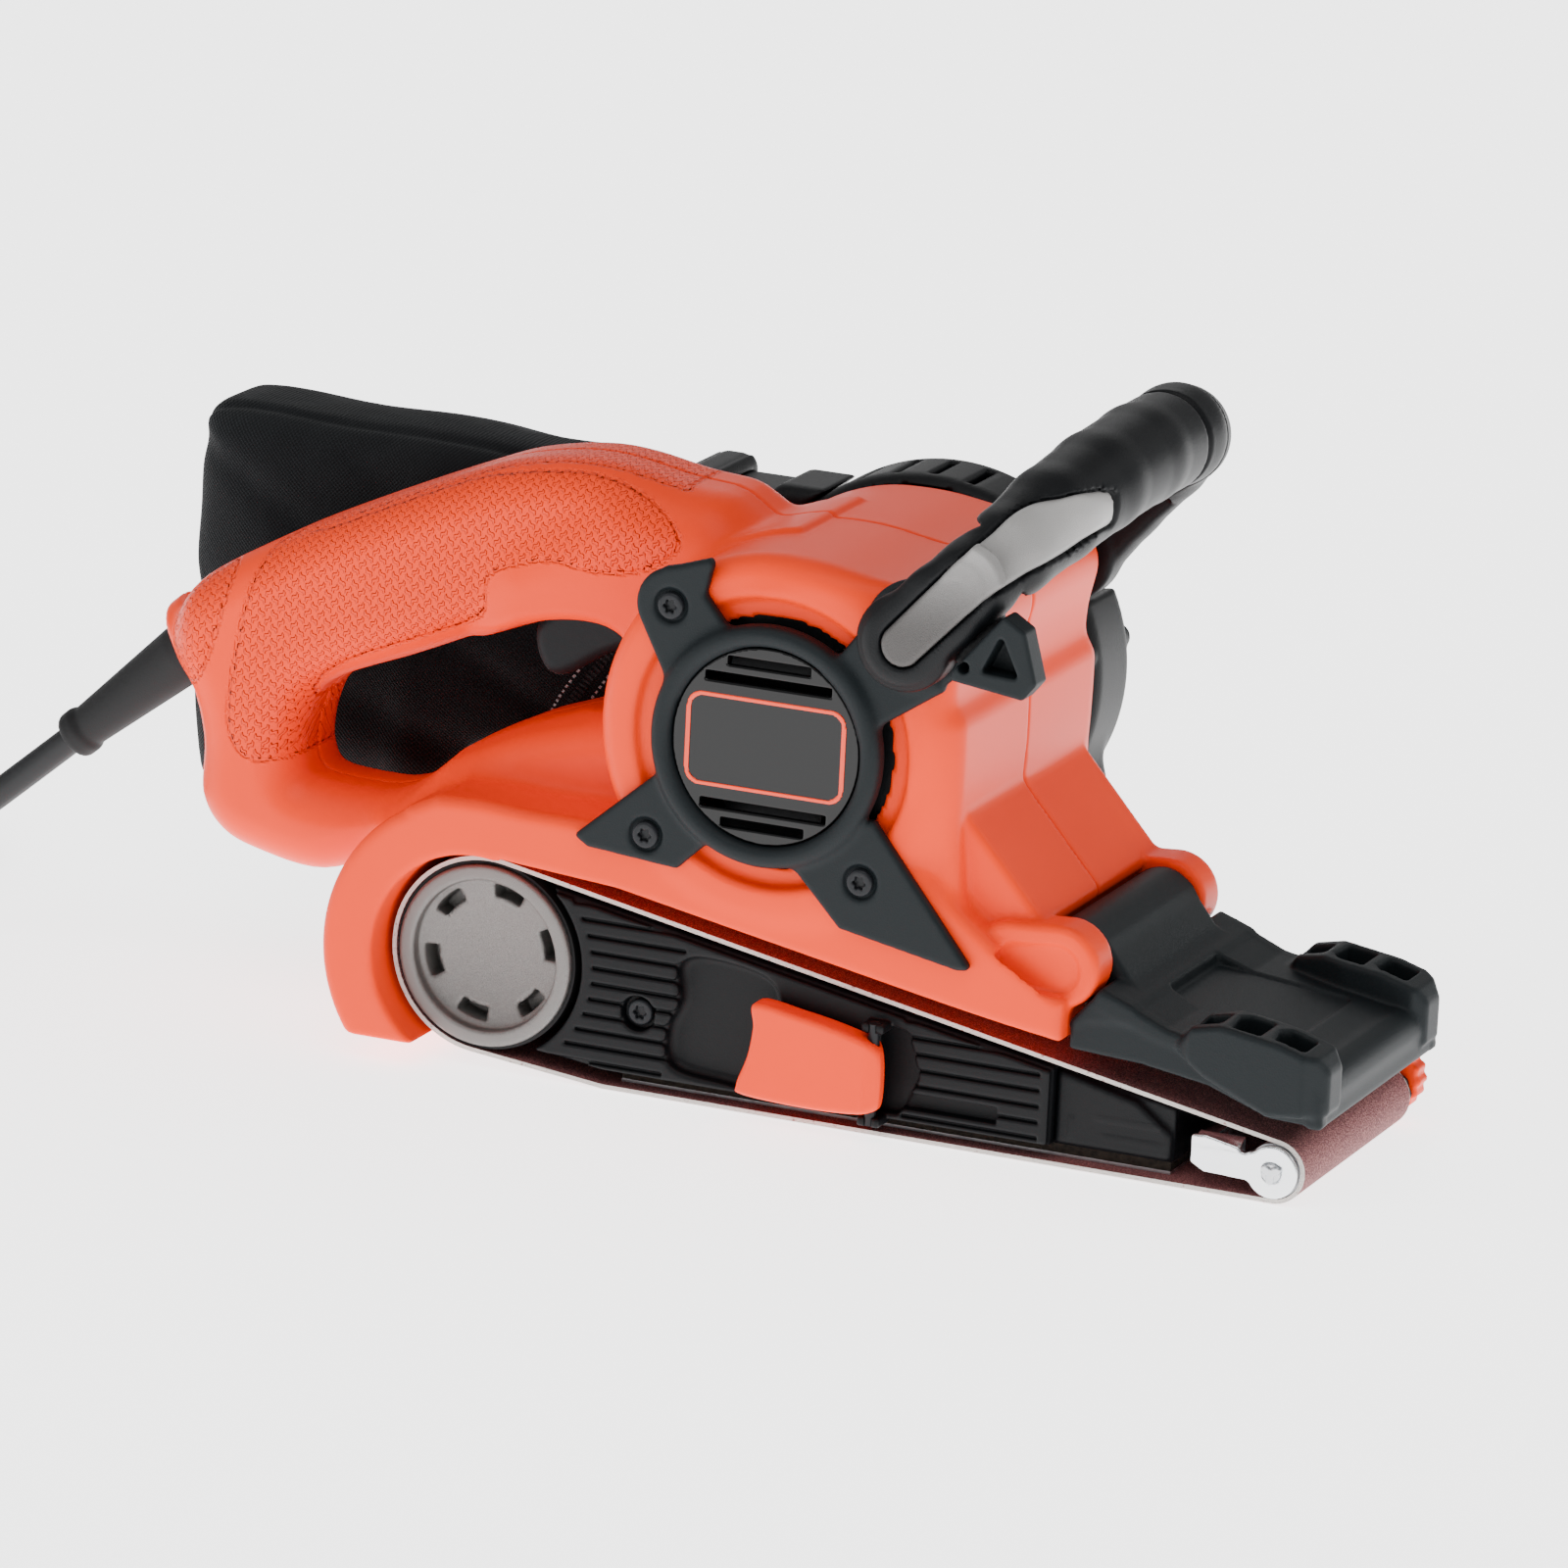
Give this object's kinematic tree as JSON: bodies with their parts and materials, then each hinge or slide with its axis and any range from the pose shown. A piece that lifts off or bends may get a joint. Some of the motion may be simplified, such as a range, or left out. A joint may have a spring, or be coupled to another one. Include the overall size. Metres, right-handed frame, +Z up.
{
  "type": "handheld belt sander",
  "caption": "Corded handheld belt sander with a moulded case, D-shaped rear handle, tilting bail handle in front, flip-up nose cover, cloth dust bag and coiled lead.",
  "frame": {"origin": "on the sole plane, at the middle of the sanding belt's width, straight below the motor's axis", "axes": "+X forward to the nose roller, +Z up, -Y the open side where the sanding belt comes off"},
  "size_m": [0.5411, 0.2058, 0.1823],
  "materials": {
    "orange_plastic": "satin moulded",
    "charcoal_plastic": "fine texture",
    "black_gloss": "glossy",
    "black_steel": "black oxide",
    "cast_alloy": "as cast",
    "cork": "cork sheet",
    "steel": "bright",
    "zinc_plate": "bright zinc plating",
    "bearing_steel": "ground",
    "abrasive": "coated abrasive cloth",
    "drum_grey": "grey moulded, satin",
    "drum_rubber": "ground rubber",
    "lamination": "laminated",
    "copper": "enamelled wire",
    "brass": "bright",
    "carbon": "carbon",
    "black_plastic": "fine texture",
    "cord_rubber": "smooth matt",
    "belt_rubber": "moulded",
    "grip_grey": "fine texture",
    "bag_cloth": "woven"
  },
  "bodies": {
    "housing": {"housing_left": "orange_plastic", "housing_right": "orange_plastic", "ring_cover": "charcoal_plastic", "badge_plate": "black_gloss", "case_screws": "black_steel", "side_cover": "black_plastic", "belt_frame": "black_plastic", "platen_cork": "cork", "platen_shoe": "steel", "sanding_belt": "abrasive", "bearing_carrier": "cast_alloy", "ball_bearings": "bearing_steel", "brush_carrier": "black_plastic", "brush_holders": "brass", "carbon_brushes": "carbon", "motor_field": "lamination", "field_coils": "copper", "bearing_plate": "cast_alloy", "drive_belt": "belt_rubber", "drive_cover": "black_plastic", "dust_duct": "black_plastic", "switch": "black_gloss", "cord_clamp": "black_plastic", "strain_relief": "cord_rubber", "handle_pivots": "steel", "nose_hinge_pin": "steel", "trigger_pin": "steel", "lever_pin": "steel", "tension_spring": "steel", "cord_lead": "cord_rubber", "cord_coil": "cord_rubber", "cord_tail": "cord_rubber", "coil_tie": "black_plastic", "plug_body": "cord_rubber", "plug_blades": "brass"},
    "armature": {"armature_shaft": "steel", "armature_core": "lamination", "commutator": "copper", "cooling_fan": "black_plastic", "motor_pinion": "steel"},
    "countershaft": {"countershaft": "steel", "reduction_gear": "steel", "drive_pulley": "cast_alloy"},
    "drum": {"drum_hub": "drum_grey", "drum_tyre": "drum_rubber", "drum_shaft": "steel", "driven_pulley": "cast_alloy"},
    "yoke": {"roller_yoke": "zinc_plate", "roller_axle": "steel"},
    "roller": {"front_roller": "cast_alloy"},
    "tension_lever": {"tension_lever": "orange_plastic"},
    "tracking_knob": {"tracking_knob": "orange_plastic"},
    "trigger": {"trigger": "charcoal_plastic"},
    "lock_button": {"lock_button": "charcoal_plastic"},
    "front_handle": {"front_handle": "black_plastic", "handle_inlay": "grip_grey"},
    "handle_latch": {"handle_latch": "black_plastic"},
    "nose_cover": {"nose_cover": "charcoal_plastic"},
    "dust_bag": {"dust_bag": "bag_cloth", "bag_collar": "black_plastic"}
  },
  "joints": [
    {"name": "armature_spin", "type": "hinge", "parent": "housing", "child": "armature", "pos_m": [0, 0, 0.0984], "axis": [0, 1, 0], "continuous": true},
    {"name": "countershaft_spin", "type": "hinge", "parent": "housing", "child": "countershaft", "pos_m": [-0.01805, 0, 0.08258], "axis": [0, 1, 0], "continuous": true},
    {"name": "drum_spin", "type": "hinge", "parent": "housing", "child": "drum", "pos_m": [-0.0786, 0, 0.0295], "axis": [0, 1, 0], "continuous": true},
    {"name": "yoke_slide", "type": "slide", "parent": "housing", "child": "yoke", "axis": [1, 0, 0], "range_m": [-0.00406, 0], "deforming": ["tension_spring"]},
    {"name": "roller_spin", "type": "hinge", "parent": "yoke", "child": "roller", "pos_m": [0.1347, 0, 0.0082], "axis": [0, 1, 0], "continuous": true},
    {"name": "tension_lever_hinge", "type": "hinge", "parent": "housing", "child": "tension_lever", "pos_m": [0.0295, -0.0422, 0], "axis": [0, 0, 1], "range_deg": [0, 75]},
    {"name": "tracking_knob_turn", "type": "hinge", "parent": "housing", "child": "tracking_knob", "pos_m": [0.135, 0, 0.0118], "axis": [0, 1, 0], "range_deg": [-360, 360]},
    {"name": "trigger_pull", "type": "hinge", "parent": "housing", "child": "trigger", "pos_m": [-0.05, 0, 0.113], "axis": [0, 1, 0], "range_deg": [0, 9], "stiffness_Nm_per_rad": 0.6, "springref_deg": -11.46},
    {"name": "lock_button_press", "type": "slide", "parent": "housing", "child": "lock_button", "axis": [0, -1, 0], "range_m": [0, 0.003], "stiffness_N_per_m": 600, "springref_m": -0.002},
    {"name": "front_handle_tilt", "type": "hinge", "parent": "housing", "child": "front_handle", "pos_m": [0.038, 0, 0.132], "axis": [0, 1, 0], "range_deg": [-25, 35]},
    {"name": "handle_latch_lift", "type": "hinge", "parent": "front_handle", "child": "handle_latch", "pos_m": [0.055, 0, 0.1288], "axis": [0, 1, 0], "range_deg": [0, 25]},
    {"name": "nose_cover_flip", "type": "hinge", "parent": "housing", "child": "nose_cover", "pos_m": [0.077, 0, 0.052], "axis": [0, -1, 0], "range_deg": [0, 70]},
    {"name": "dust_bag_pull", "type": "slide", "parent": "housing", "child": "dust_bag", "axis": [-1, 0, 0], "range_m": [0, 0.05]}
  ],
  "couplings": [
    {"joint": "countershaft_spin", "follows": "armature_spin", "ratio": -0.25},
    {"joint": "drum_spin", "follows": "armature_spin", "ratio": -0.071429},
    {"joint": "roller_spin", "follows": "armature_spin", "ratio": -0.2358},
    {"joint": "tension_lever_hinge", "follows": "yoke_slide", "rad_per_m": -322.58}
  ]
}
